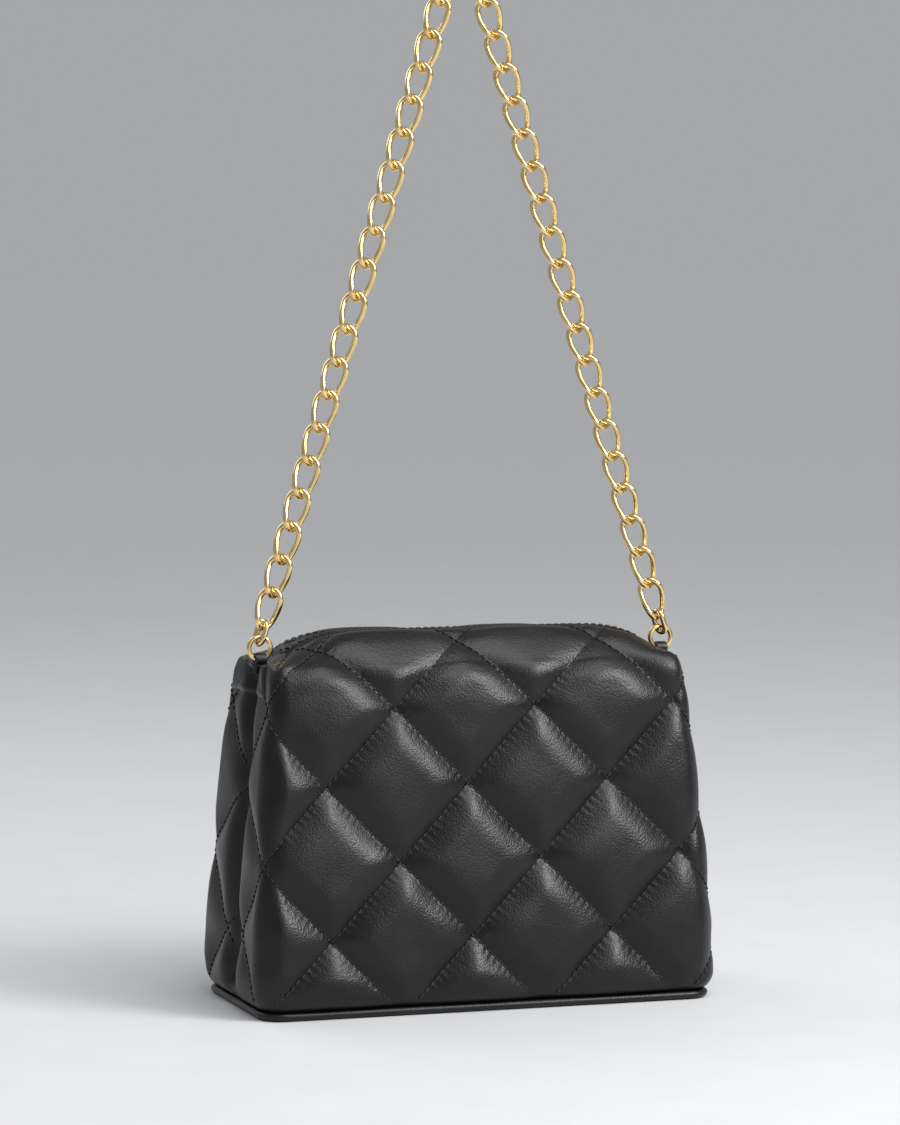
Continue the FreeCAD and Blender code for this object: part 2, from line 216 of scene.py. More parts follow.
def makePiece(name, verts, faces, material, normals=None):
    mesh = bpy.data.meshes.new(name)
    mesh.from_pydata((np.asarray(verts, float) * mm).tolist(), [], faces)
    mesh.polygons.foreach_set("use_smooth", [True] * len(mesh.polygons))
    mesh.materials.append(material)
    mesh.update()
    if normals is not None:
        mesh.normals_split_custom_set_from_vertices(np.asarray(normals, float).tolist())
    piece = bpy.data.objects.new(name, mesh)
    bpy.context.scene.collection.objects.link(piece)
    return piece


def nodeBox(name):
    # the low and high corner of a CAD node, in mm
    return [np.array(corner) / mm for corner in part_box(name)]


def through(knots, values, at):
    # a smooth curve through given values
    tangents = np.gradient(values, knots)
    i = np.clip(np.searchsorted(knots, at) - 1, 0, len(knots) - 2)
    span = knots[i + 1] - knots[i]
    t = (at - knots[i]) / span
    return ((2 * t**3 - 3 * t**2 + 1) * values[i] + (t**3 - 2 * t**2 + t) * span * tangents[i]
            + (3 * t**2 - 2 * t**3) * values[i + 1] + (t**3 - t**2) * span * tangents[i + 1])


def fade(x, low, high):
    t = np.clip((x - low) / (high - low), 0, 1)
    return t * t * (3 - 2 * t)


def fadeIn(x, key, start=0):
    low, high = fades[key]
    return fade(x, start + low, start + high)


def bumpAt(x, width):
    return np.exp(-(x / width) ** 2)


def gridNormals(grid):
    across = np.gradient(grid, axis=1)
    up = np.gradient(grid, axis=0)
    normals = np.cross(across, up)
    return normals / np.maximum(np.linalg.norm(normals, axis=2, keepdims=True), 1e-9)


def quads(rows, cols, first=0):
    a = np.arange(rows * cols).reshape(rows, cols) + first
    return np.stack([a[:-1, :-1], a[:-1, 1:], a[1:, 1:], a[1:, :-1]], axis=-1).reshape(-1, 4).tolist()


def closedSkin(outer, inner):
    # outer is a fine grid, inner is the back of the same skin at every third row and column
    rows, cols = outer.shape[:2]
    faces = quads(rows, cols) + [f[::-1] for f in quads(*inner.shape[:2], first=rows * cols)]
    a = np.arange(rows * cols).reshape(rows, cols)
    b = np.arange(inner.shape[0] * inner.shape[1]).reshape(inner.shape[:2]) + rows * cols
    rims = ((a[0], b[0]), (a[-1, ::-1], b[-1, ::-1]), (a[::-1, 0], b[::-1, 0]), (a[:, -1], b[:, -1]))
    for fine, coarse in rims:
        for i in range(len(coarse) - 1):
            ring = (*fine[3 * i:3 * i + 4][::-1], coarse[i], coarse[i + 1])
            faces.append([int(k) for k in ring])
    return np.concatenate([outer.reshape(-1, 3), inner.reshape(-1, 3)]), faces


# the quilted half bag, in mm: its outline at rising levels, then the roof that slopes in to the zip
halfBag = {
    # height, half width, half depth, corner, share of the way up the roof
    "levels": [(3.4, 98.6, 43.6, 9.5, 0), (5.0, 100.6, 45.6, 10.6, 0), (8, 102.4, 47.0, 11.4, 0),
               (14, 103.2, 47.8, 12.0, 0), (30, 103.0, 47.6, 12.0, 0), (60, 101.2, 44.8, 11.6, 0),
               (90, 98.8, 41.2, 11.0, 0), (118, 96.4, 37.8, 10.0, 0), (134, 94.8, 35.6, 9.0, 0),
               (142, 93.4, 33.4, 8.0, 0), (146.6, 91.6, 30.2, 7.2, 0), (147.5, 89.6, 26.4, 6.8, 0.3),
               (147.5, 87.0, 21.5, 6.6, 0.68), (147.5, 84.2, 16.0, 6.4, 0.96), (147.5, 81.6, 11.0, 6.0, 0.98),
               (147.5, 79.6, 7.2, 5.4, 0.87), (147.5, 78.4, 4.9, 4.3, 0.74)],
    # the crest falls away to the corners, the lips beside the zip stay high for longer
    "crest": [(0, 160.2), (54, 160.0), (61, 159.4), (68, 157.4), (76, 153.8), (83, 150.0), (89, 146.8),
              (100, 146.6)],
    "lip": [(0, 159.6), (60, 159.6), (70, 158.4), (76, 156.4), (79, 154.6), (91, 146.6), (100, 146.6)],
    "rearDrop": 1.8,
    "rowStep": 0.9, "sideSteps": 24, "cornerSteps": 30, "frontSteps": 222, "seamGap": 0.3,
    "hingeZ": 145.8, "facing": 8.1,
    "wallThickness": 7.2, "roofThickness": 2.8, "leastThickness": 1.3,
}
quilt = {
    "centre": (23.0, 66.0), "halfWidth": 31.25, "halfHeight": 32.2,
    "height": 3.7, "crown": 1.2, "sink": 2.6, "shoulder": 13.5, "reach": 22.4, "power": 2.0, "pinch": 4.0,
    "stitch": 3.3, "puckerDepth": 0.085, "puckerReach": 3.0,
    # how much of the padding is lost on the roof, the sides, high on the sides and at the corners
    "roofLoss": 0.55, "sideLoss": 0.45, "highSideLoss": 0.7, "cornerLoss": 0.45, "cornerWidth": 9,
    "sinkRoofLoss": 0.75, "sinkCornerLoss": 0.4,
    "seamDepth": 5.0, "seamWidth": 6.0, "seamClear": 9, "hollowDepth": 5.0, "hollowWidth": 4.8,
    "roofSideDrop": 1.2, "hipGroove": 0.6, "hipWidth": 1.5,
    # swells of the leather: height and size
    "fineSwell": (0.12, 11), "broadSwell": (0.45, 30), "puckerSwell": (0.5, 9),
}
# where each form comes in, in mm: over the surface from its foot, from the rim's fold or from the facing,
# round the corner, and out from the zip
fades = {
    "foot": (-2, 16), "sink": (-6, 26), "seamFoot": (0, 12), "highSide": (118, 138), "hollow": (116, 134),
    "roof": (-10, 6), "seamTop": (-8, 6), "hollowTop": (-3, 3), "hip": (-1, 3), "thinning": (-26, 8),
    "facing": (-7, 2), "side": (2, 10), "offLip": (6, 14),
}


def softNoise(u, v, size, seed):
    # smooth seeded swells, about size mm across
    random = np.random.default_rng(seed)
    total = np.zeros_like(u)
    waves = 14
    for _ in range(waves):
        angle = random.uniform(0, 2 * math.pi)
        phase = random.uniform(0, 2 * math.pi)
        stretch = random.uniform(0.7, 1.4)
        k = 2 * math.pi / (2 * size * stretch)
        total += np.cos(k * (u * math.cos(angle) + v * math.sin(angle)) + phase)
    return total / waves ** 0.5


def quiltLines(u, v):
    # places in units of one diamond side, along the two directions of the stitched lines
    a = (u - quilt["centre"][0]) / quilt["halfWidth"]
    b = (v - quilt["centre"][1]) / quilt["halfHeight"]
    return (a + b) / 2, (a - b) / 2


diamondSide = math.hypot(quilt["halfWidth"], quilt["halfHeight"])
diamondAngle = 2 * math.atan2(quilt["halfWidth"], quilt["halfHeight"])
lineSpacing = diamondSide * math.sin(diamondAngle)


def ridgeLine(points, x):
    # a rounded height over x: straight pieces through the points, smoothed twice
    at = np.arange(0, 110, 0.25)
    width = 21
    kernel = np.ones(width) / width
    sharp = np.pad(np.interp(at, *np.array(points).T), width - 1, "edge")
    return np.interp(np.abs(x), at, np.convolve(sharp, np.convolve(kernel, kernel), "valid"))


def halfBagGrid(seed, drop):
    s = halfBag
    keys = np.array(s["levels"], float)
    rimZ = keys[-1, 0]
    midZ = keys[:, 0] + (s["crest"][0][1] - rimZ) * keys[:, 4]
    knots = np.concatenate([[0], np.cumsum(np.hypot(np.diff(midZ), np.diff(keys[:, 2])))]) + keys[0, 0]
    hingeV = np.interp(s["hingeZ"], midZ, knots)
    below = 3 * round((hingeV - knots[0]) / s["rowStep"] / 3)
    above = 3 * round((knots[-1] - hingeV) / s["rowStep"] / 3)
    v = np.concatenate([np.linspace(knots[0], hingeV, below + 1),
                        np.linspace(hingeV, knots[-1], above + 1)[1:]])
    z, wide, deep, corner, share = (through(knots, keys[:, k], v) for k in range(5))
    side = np.linspace(0, 1, s["sideSteps"] + 1)
    turn = np.linspace(0, math.pi / 2, s["cornerSteps"] + 1)[1:]
    run = np.linspace(0, 1, s["frontSteps"] + 1)[1:]
    rows = []
    for zi, w, d, r, k in zip(z, wide, deep, corner, np.clip(share, 0, 1)):
        leftX = np.concatenate([np.full(len(side), -w), -(w - r) - r * np.cos(turn)])
        leftY = np.concatenate([-s["seamGap"] - side * (d - r - s["seamGap"]), -(d - r) - r * np.sin(turn)])
        x = np.concatenate([leftX, -(w - r) + 2 * (w - r) * run, -leftX[-2::-1]])
        y = np.concatenate([leftY, np.full(len(run), -d), leftY[-2::-1]])
        nearLip = 1 - fadeIn(d, "offLip")
        top = (1 - nearLip) * ridgeLine(s["crest"], x) + nearLip * ridgeLine(s["lip"], x)
        rows.append(np.stack([x, y, zi + (top - rimZ - drop) * k], axis=1))
    shell = np.array(rows)
    steps = np.linalg.norm(np.diff(shell, axis=1), axis=2)
    u = np.concatenate([np.zeros((len(v), 1)), np.cumsum(steps, axis=1)], axis=1)
    middle = u.shape[1] // 2
    seam = u[:, -1:] / 2
    u = u - u[:, middle:middle + 1]
    vv = np.repeat(v[:, None], u.shape[1], axis=1)
    lipV = v[-1]
    p, q = quiltLines(u, vv)
    offP, offQ = (np.abs(t - np.round(t)) * lineSpacing for t in (p, q))
    # steep shoulders beside the lines, then a low crown
    pinch = quilt["pinch"]
    slack = sum((1 - np.clip(off / quilt["shoulder"], 0, 1)) ** pinch for off in (offP, offQ))
    crown = np.prod([1 - (1 - off / quilt["reach"]) ** 2 for off in (offP, offQ)], axis=0)
    pillow = quilt["height"] * (1 - slack ** (quilt["power"] / pinch)) + quilt["crown"] * crown
    # where the padding fades out: seams, base, facing, roof, narrow sides and corners
    fromSeam = seam - np.abs(u)
    cornerU = (wide - corner + corner * math.pi / 4)[:, None]
    onCorner = bumpAt(np.abs(u) - cornerU, quilt["cornerWidth"])
    isSide = fadeIn(np.abs(shell[:, :, 0]) - (wide - corner)[:, None], "side")
    onRoof = fadeIn(vv, "roof", hingeV)
    underFacing = fadeIn(vv, "facing", lipV - s["facing"])
    edge = (1 - bumpAt(fromSeam, quilt["seamClear"])) * fadeIn(vv, "foot", v[0]) * (1 - underFacing)
    edge = edge * (1 - quilt["roofLoss"] * onRoof) * (1 - quilt["sideLoss"] * isSide)
    edge = edge * (1 - quilt["highSideLoss"] * isSide * fadeIn(vv, "highSide"))
    edge = edge * (1 - quilt["cornerLoss"] * onCorner)
    sink = quilt["sink"] * (1 - quilt["sinkRoofLoss"] * onRoof) * fadeIn(vv, "sink", v[0])
    sink = sink * (1 - quilt["sinkCornerLoss"] * onCorner)
    rise = pillow * edge - sink
    (fine, fineSize), (broad, broadSize), (uneven, unevenSize) = (
        quilt[key] for key in ("fineSwell", "broadSwell", "puckerSwell"))
    rise += (fine * softNoise(u, vv, fineSize, seed) + broad * softNoise(u, vv, broadSize, seed + 1)) * edge
    puckers = 1 + uneven * softNoise(u, vv, unevenSize, seed + 2)
    for off, along in ((offP, q), (offQ, p)):
        wave = np.cos(2 * math.pi * along * diamondSide / quilt["stitch"])
        rise += quilt["puckerDepth"] * wave * puckers * bumpAt(off, quilt["puckerReach"]) * edge
    # the sewn-in side seam, and the hollow below each ring, where the side folds in
    seamRun = (1 - fadeIn(vv, "seamTop", hingeV)) * fadeIn(vv, "seamFoot", v[0])
    rise -= quilt["seamDepth"] * bumpAt(fromSeam, quilt["seamWidth"]) * seamRun
    hollowRun = fadeIn(vv, "hollow") * (1 - fadeIn(vv, "hollowTop", hingeV))
    rise -= quilt["hollowDepth"] * bumpAt(fromSeam, quilt["hollowWidth"]) * hollowRun
    rise -= quilt["roofSideDrop"] * onRoof * isSide * (1 - underFacing)
    # the seams that run from the top corners up to the facing
    hip = bumpAt(np.abs(u) - cornerU, quilt["hipWidth"]) * fadeIn(vv, "hip", hingeV)
    rise -= quilt["hipGroove"] * hip
    shellNormals = gridNormals(shell)
    grid = shell + shellNormals * rise[:, :, None]
    thinning = (s["roofThickness"] - s["wallThickness"]) * fadeIn(vv, "thinning", hingeV)
    depth = np.maximum(s["wallThickness"] + thinning, s["leastThickness"] - rise)
    return {"grid": grid, "normals": gridNormals(grid), "back": shell - shellNormals * depth[:, :, None],
            "u": u, "v": v, "seam": seam[:, 0], "cornerU": cornerU[:, 0],
            "hinge": below, "hingeV": hingeV, "lipV": lipV, "middle": middle}


def mirrorRear(points, isRear):
    return points * (1, -1, 1) if isRear else points


def rideMouth(piece):
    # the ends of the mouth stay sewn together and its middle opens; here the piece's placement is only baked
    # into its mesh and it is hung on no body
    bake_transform(piece)


# how deep a laid-on layer is set into the skin below it
layerSink = 0.2


def skinPiece(name, half, rows, cols, isRear, material, lift=None):
    # a block of the half bag's grid as a closed skin, or where lift is given a layer laid on it
    outer, normals = half["grid"][rows, cols], half["normals"][rows, cols]
    inner = half["back"][rows, cols][::3, ::3]
    if lift is not None:
        inner = (outer - normals * layerSink)[::3, ::3]
        outer = outer + normals * lift[..., None]
        normals = gridNormals(outer)
    verts, faces = closedSkin(outer, inner)
    shade = np.concatenate([normals.reshape(-1, 3), -normals[::3, ::3].reshape(-1, 3)])
    if isRear:
        faces = [f[::-1] for f in faces]
    return makePiece(name, mirrorRear(verts, isRear), faces, material, mirrorRear(shade, isRear))


def turnedEdge(x):
    # the height of a rounded edge, from almost nothing at 0 to full at 1
    return np.sqrt(np.clip(x, 0.03, 1))


thread = {"length": 2.6, "radius": 0.36, "sides": 6, "lift": 0.12, "arch": 0.2}


def stitchMesh(stitches):
    # each stitch is a short thread with rounded ends, given as (start, end, normal)
    profile = [(0.0, 0.25), (0.12, 0.8), (0.35, 1.0), (0.65, 1.0), (0.88, 0.8), (1.0, 0.25)]
    verts, faces = [], []
    n = thread["sides"]
    for start, end, normal in stitches:
        along = (end - start) / np.linalg.norm(end - start)
        across = np.cross(along, normal)
        up = np.cross(across, along)
        first = len(verts)
        for t, size in profile:
            arch = thread["lift"] + thread["arch"] * (1 - (2 * t - 1) ** 2)
            centre = start + (end - start) * t + up * arch
            for i in range(n):
                a = 2 * math.pi * i / n
                verts.append(centre + thread["radius"] * size * (math.cos(a) * across + math.sin(a) * up))
        for k in range(len(profile) - 1):
            for i in range(n):
                j = (i + 1) % n
                low, high = first + k * n, first + (k + 1) * n
                faces.append([low + i, low + j, high + j, high + i])
        faces.append([first + i for i in range(n)][::-1])
        faces.append([first + (len(profile) - 1) * n + i for i in range(n)])
    return np.array(verts), faces


def surfaceAt(half, u, v):
    # the point and normal of the half bag at a place in surface coordinates
    row = np.clip(np.interp(v, half["v"], np.arange(len(half["v"]))), 0, len(half["v"]) - 1.001)
    i = int(row)
    t = row - i
    found = []
    for grid in (half["grid"], half["normals"]):
        below, above = (np.array([np.interp(u, half["u"][k], grid[k, :, axis]) for axis in range(3)])
                        for k in (i, i + 1))
        found.append(below * (1 - t) + above * t)
    return found


def stitchOn(half, u, v, du, dv):
    reach = thread["length"] / 2
    start, normal = surfaceAt(half, u - du * reach, v - dv * reach)
    end, _ = surfaceAt(half, u + du * reach, v + dv * reach)
    return start, end, normal


def quiltStitches(half):
    # every place along the stitched lines that lies on the half bag, clear of its seams and facing
    found = []
    step = quilt["stitch"] / diamondSide
    lines, clear = 8, {"base": 4, "facing": 2, "seam": 5}
    lowV, highV = half["v"][0] + clear["base"], half["lipV"] - halfBag["facing"] - clear["facing"]
    du = quilt["halfWidth"] / diamondSide
    for family, dv in enumerate((-quilt["halfHeight"] / diamondSide, quilt["halfHeight"] / diamondSide)):
        for line in range(-lines, lines + 1):
            for k in range(int(-(lines + 1) / step), int((lines + 1) / step)):
                p, q = (line, k * step) if family == 0 else (k * step, line)
                u = quilt["centre"][0] + quilt["halfWidth"] * (p + q)
                v = quilt["centre"][1] + quilt["halfHeight"] * (p - q)
                if lowV < v < highV and abs(u) <= np.interp(v, half["v"], half["seam"]) - clear["seam"]:
                    found.append((u, v) + stitchOn(half, u, v, du, dv))
    return found


def stitchPiece(name, stitches, isRear):
    verts, faces = stitchMesh(stitches)
    if isRear:
        faces = [f[::-1] for f in faces]
    return makePiece(name, mirrorRear(verts, isRear), faces, blackThread)


facing = {"thickness": 0.9, "rows": 9, "turnedRows": 1.5, "stitchRows": (1.8, 6.4), "threadSink": 0.1}
halfNames = {False: ("front", "front_mouth", 11), True: ("back", "rear_mouth", 23)}
halves = {}
for isRear, (word, mouth, seed) in halfNames.items():
    half = halves[isRear] = halfBagGrid(seed, halfBag["rearDrop"] if isRear else 0)
    count = half["grid"].shape[1]
    hinge = half["hinge"]
    last = half["grid"].shape[0] - 1
    wall = skinPiece(word + "QuiltedWall", half, slice(0, hinge + 1), slice(0, count), isRear,
                     quiltedNappa)
    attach(wall, "bag")
    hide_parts(word + "_panel", word + "_wadding")
    stitches = {"wall": [], "left": [], "right": []}
    for u, v, start, end, normal in quiltStitches(half):
        place = "wall" if v < half["hingeV"] else ("left" if u < 0 else "right")
        stitches[place].append((start, end, normal))
    # the facing's two rows of stitches
    for fromLip in facing["stitchRows"]:
        v = half["lipV"] - fromLip
        width = np.interp(v, half["v"], half["seam"])
        for k in range(int(-width / quilt["stitch"]) + 1, int(width / quilt["stitch"])):
            u = (k + 0.5) * quilt["stitch"]
            start, end, normal = stitchOn(half, u, v, 1, 0)
            raised = normal * (facing["thickness"] - facing["threadSink"])
            stitches["left" if u < 0 else "right"].append((start + raised, end + raised, normal))
    # the hip seams, from the top corners up to the facing
    for k in range(int((half["lipV"] - halfBag["facing"] - half["hingeV"]) / quilt["stitch"])):
        v = half["hingeV"] + (k + 0.5) * quilt["stitch"]
        u = np.interp(v, half["v"], half["cornerU"])
        for side, sign in (("left", -1), ("right", 1)):
            stitches[side].append(stitchOn(half, sign * u, v, 0, 1))
    for side, cols in (("left", slice(0, half["middle"] + 1)), ("right", slice(half["middle"], count))):
        isLeft = side == "left"
        rows = slice(hinge, last + 1)
        roof = skinPiece(word + "Roof" + side.title(), half, rows, cols, isRear,
                         quiltedNappa)
        rideMouth(roof)
        if isLeft:
            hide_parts(word + "_top_panel")
        # the facing is a strip of leather laid along the lip, with turned edges
        rows = slice(last - facing["rows"], last + 1)
        k = np.arange(facing["rows"] + 1)
        profile = turnedEdge(np.minimum(k, facing["rows"] - k) / facing["turnedRows"]) * facing["thickness"]
        lift = np.repeat(profile[:, None], half["grid"][rows, cols].shape[1], axis=1)
        strip = skinPiece(word + "Facing" + side.title(), half, rows, cols, isRear,
                          plainNappa, lift)
        rideMouth(strip)
        if isLeft:
            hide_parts(word + "_facing")
        piece = stitchPiece(word + "RoofStitches" + side.title(), stitches[side], isRear)
        rideMouth(piece)
    piece = stitchPiece(word + "QuiltStitches", stitches["wall"], isRear)
    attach(piece, "bag")
    print(word, "half made, stitches", {k: len(s) for k, s in stitches.items()})


def unit(vectors):
    return vectors / np.linalg.norm(vectors, axis=1, keepdims=True)


def roundedLoop(halfWide, halfDeep, radius, perCorner=14, perSide=12):
    # points of a rounded rectangle, anticlockwise seen from above
    points = []
    for sx, sy, start in ((1, -1, 270), (1, 1, 0), (-1, 1, 90), (-1, -1, 180)):
        for a in np.radians(np.linspace(start, start + 90, perCorner + 1)):
            points.append((sx * (halfWide - radius) + radius * math.cos(a),
                           sy * (halfDeep - radius) + radius * math.sin(a)))
    corners = np.array(points).reshape(4, perCorner + 1, 2)
    loop = []
    for k in range(4):
        here, there = corners[k], corners[(k + 1) % 4]
        loop += list(here)
        for t in np.linspace(0, 1, perSide + 1)[1:-1]:
            loop.append(here[-1] * (1 - t) + there[0] * t)
    return np.array(loop)


def tubeAlong(centres, outs, radius, sides, closed=True):
    # a round tube along points, outs are the sideways directions
    if closed:
        tangents = np.roll(centres, -1, axis=0) - np.roll(centres, 1, axis=0)
    else:
        tangents = np.gradient(centres, axis=0)
    ups = np.cross(unit(tangents), outs)
    angles = np.linspace(0, 2 * math.pi, sides, endpoint=False)
    rings = [c + radius * (np.cos(angles)[:, None] * o + np.sin(angles)[:, None] * n)
             for c, o, n in zip(centres, outs, ups)]
    verts = np.concatenate(rings)
    count = len(centres)
    faces = []
    for k in range(count if closed else count - 1):
        low, high = k * sides, (k + 1) % count * sides
        for i in range(sides):
            j = (i + 1) % sides
            faces.append([low + i, low + j, high + j, high + i])
    if not closed:
        faces.append(list(range(sides))[::-1])
        faces.append([(count - 1) * sides + i for i in range(sides)])
    return verts, faces


def loftLoops(loops):
    # joins closed loops of the same number of points, with both ends capped
    count = len(loops[0])
    faces = []
    for k in range(len(loops) - 1):
        low, high = k * count, (k + 1) * count
        for i in range(count):
            j = (i + 1) % count
            faces.append([low + i, low + j, high + j, high + i])
    faces.append(list(range(count))[::-1])
    faces.append([(len(loops) - 1) * count + i for i in range(count)])
    return np.concatenate(loops), faces


# the flat base: a leather panel inside a piped edge
base = {
    "halfWidth": 99.2, "halfDepth": 44.6, "corner": 9.6, "pipeZ": 2.0, "pipeRadius": 1.6, "pipeSides": 16,
    # the panel's rounded edge: how far in, how high
    "panelEdge": [(3.4, 0.05), (1.9, 0.5), (1.5, 0.9), (1.4, 1.2), (1.6, 1.7), (3.0, 1.8)],
}


def level(halfWide, halfDeep, radius, z):
    loop = roundedLoop(halfWide, halfDeep, radius)
    return np.column_stack([loop, np.full(len(loop), z)])


def baseLevel(inset, z):
    return level(base["halfWidth"] - inset, base["halfDepth"] - inset, base["corner"] - inset, z)


pathLoop = baseLevel(0, base["pipeZ"])
outs = unit(pathLoop - baseLevel(1, base["pipeZ"]))
verts, faces = tubeAlong(pathLoop, outs, base["pipeRadius"], base["pipeSides"])
piping = makePiece("basePiping", verts, faces, plainNappa)
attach(piping, "bag")
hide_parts("base_piping")
verts, faces = loftLoops([baseLevel(inset, z) for inset, z in base["panelEdge"]])
panel = makePiece("basePanel", verts, faces, plainNappa)
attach(panel, "bag")
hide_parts("base_panel")
print("base made")

# tabs sewn over the top of the sides: at the front under the ring, at the rear over the zip's end
tabs = {
    "ring": {"isRear": False, "rows": (-15, 3), "columns": (3, 18), "thickness": 1.2, "replaces": None},
    "end": {"isRear": True, "rows": (-15, 24), "columns": (0, 24), "thickness": 1.3,
            "replaces": "end_gusset"},
}
tabEdge = {"rowStep": 0.9, "columnStep": 0.7, "width": 1.6}
for word, tab in tabs.items():
    half = halves[tab["isRear"]]
    hinge = half["hinge"]
    last = half["grid"].shape[1] - 1
    for side in ("left", "right"):
        low, high = tab["columns"]
        cols = slice(low, high + 1) if side == "left" else slice(last - high, last - low + 1)
        rows = slice(hinge + tab["rows"][0], hinge + tab["rows"][1] + 1)
        shape = half["grid"][rows, cols].shape
        i, j = np.meshgrid(np.arange(shape[0]), np.arange(shape[1]), indexing="ij")
        inside = np.minimum(np.minimum(i, shape[0] - 1 - i) * tabEdge["rowStep"],
                            np.minimum(j, shape[1] - 1 - j) * tabEdge["columnStep"])
        lift = tab["thickness"] * turnedEdge(inside / tabEdge["width"])
        piece = skinPiece(side + word.title() + "Tab", half, rows, cols, tab["isRear"],
                          plainNappa, lift)
        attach(piece, "bag")
        if tab["replaces"]:
            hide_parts(side + "_" + tab["replaces"])
print("tabs made")


def ribbonAlong(path, across, width, thickness):
    # a strip of leather with rounded edges: its width lies along across, its thickness square to the path
    outs = np.cross(unit(np.gradient(path, axis=0)), across)
    section = []
    for a in np.linspace(0, 2 * math.pi, 20, endpoint=False):
        c, n = math.cos(a), math.sin(a)
        section.append((math.copysign(abs(c) ** 0.35, c) * width / 2,
                        math.copysign(abs(n) ** 0.6, n) * thickness / 2))
    loops = [p + np.array([w * across + t * o for w, t in section]) for p, o in zip(path, outs)]
    return loftLoops(loops)


# leather loops round the foot of each ring
ringLoop = {"width": 5.2, "thickness": 1.05, "clearance": 1.12, "room": 0.55, "legs": 4.5, "spread": 0.62,
            "turn": (215, -35), "turnSteps": 26}
for side in ("left", "right"):
    low, high = nodeBox(side + "_ring_loop")
    ringLow, ringHigh = nodeBox(side + "_ring")
    wire = (ringHigh - ringLow)[1]
    centre = np.array(((low + high)[0] / 2, (ringLow + ringHigh)[1] / 2, ringLow[2] + wire / 2))
    radius = wire / 2 * ringLoop["clearance"] + ringLoop["room"] + ringLoop["thickness"] / 2
    turn = np.radians(np.linspace(*ringLoop["turn"], ringLoop["turnSteps"]))
    bend = np.column_stack([0 * turn, radius * np.cos(turn), radius * np.sin(turn)])
    legs = np.linspace(1, 0.08, 8)[:, None] * (0, 0, -ringLoop["legs"])
    firstLeg = bend[0] * (1, ringLoop["spread"], 1) + legs
    lastLeg = bend[-1] * (1, ringLoop["spread"], 1) + legs[::-1]
    path = centre + np.concatenate([firstLeg, bend, lastLeg])
    verts, faces = ribbonAlong(path, np.array((1.0, 0, 0)), ringLoop["width"], ringLoop["thickness"])
    loop = makePiece(side + "RingLoop", verts, faces, plainNappa)
    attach(loop, "bag")
    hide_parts(side + "_ring_loop")
print("ring loops made")

# lining: a thin sewn bag inside the walls
liningBag = {
    "sideInset": 12.5, "frontInset": 8.3, "cornerInset": 8.0, "thickness": 0.8, "floor": 5.0, "top": 144.6,
    "levels": 30, "slack": 0.175, "slackSize": 16, "seed": 5,
}
keys = np.array([key for key in halfBag["levels"] if key[4] == 0], float)
bottom = liningBag["floor"] + liningBag["thickness"]
shells = []
for inset, first, last in ((0, liningBag["floor"], liningBag["top"]),
                           (liningBag["thickness"], liningBag["top"], bottom)):
    for z in np.linspace(first, last, liningBag["levels"]):
        wide, deep, corner = (np.interp(z, keys[:, 0], keys[:, k]) for k in (1, 2, 3))
        loop = level(wide - liningBag["sideInset"] - inset, deep - liningBag["frontInset"] - inset,
                     corner - liningBag["cornerInset"] - inset * 0.5, z)
        noise = softNoise(loop[:, 0], loop[:, 1] + 2 * z, liningBag["slackSize"], liningBag["seed"])
        shells.append(loop + liningBag["slack"] * noise[:, None] * np.sign(loop) * (1, 1, 0))
verts, faces = loftLoops(shells)
lining = makePiece("liningBag", verts, faces, liningTwill)
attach(lining, "bag")
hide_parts("lining")

# zip: woven tapes and coil rows on each half of the mouth, closed ends fixed to the bag
zipper = {
    "coilPitch": 1.4, "coilWire": 0.28, "coilSides": 6, "pointsPerTurn": 12, "gap": 0.5,
    "cord": 0.25, "cordPlace": 3.4, "cordWidth": 0.5, "ripple": 0.06, "rippleLength": 2.9,
}


def tapeStrip(low, high):
    # a flat woven strip with a slightly thicker corded edge beside the coil
    columns, rows = 121, 13
    x, y = np.meshgrid(np.linspace(low[0], high[0], columns), np.linspace(low[1], high[1], rows))
    cord = zipper["cord"] * bumpAt(np.abs(y) - zipper["cordPlace"], zipper["cordWidth"])
    swell = cord + zipper["ripple"] * np.sin(x / zipper["rippleLength"])
    outer = np.stack([x, y, high[2] + swell], axis=2)
    inner = np.stack([x, y, np.full_like(x, low[2])], axis=2)
    return closedSkin(outer, inner[::3, ::3])


def coilRow(lowX, highX, side, farY, z, high):
    # one row of spiral coil lying along the tape, the rear row half a turn on
    turns = (highX - lowX) / zipper["coilPitch"]
    t = np.linspace(0, turns, int(turns * zipper["pointsPerTurn"]))
    a = 2 * math.pi * (t + (0.5 if side > 0 else 0))
    nearY = side * zipper["gap"]
    wire = zipper["coilWire"]
    path = np.column_stack([lowX + t * zipper["coilPitch"],
                            (nearY + farY) / 2 + (abs(farY - nearY) / 2 - wire) * np.cos(a),
                            z + high / 2 + (high / 2 - wire) * np.sin(a)])
    outs = np.column_stack([0 * a, np.cos(a), np.sin(a)])
    return tubeAlong(path, outs, wire, zipper["coilSides"], closed=False)


def joined(parts):
    verts, faces, count = [], [], 0
    for v, f in parts:
        faces += [[k + count for k in face] for face in f]
        verts.append(v)
        count += len(v)
    return np.concatenate(verts), faces


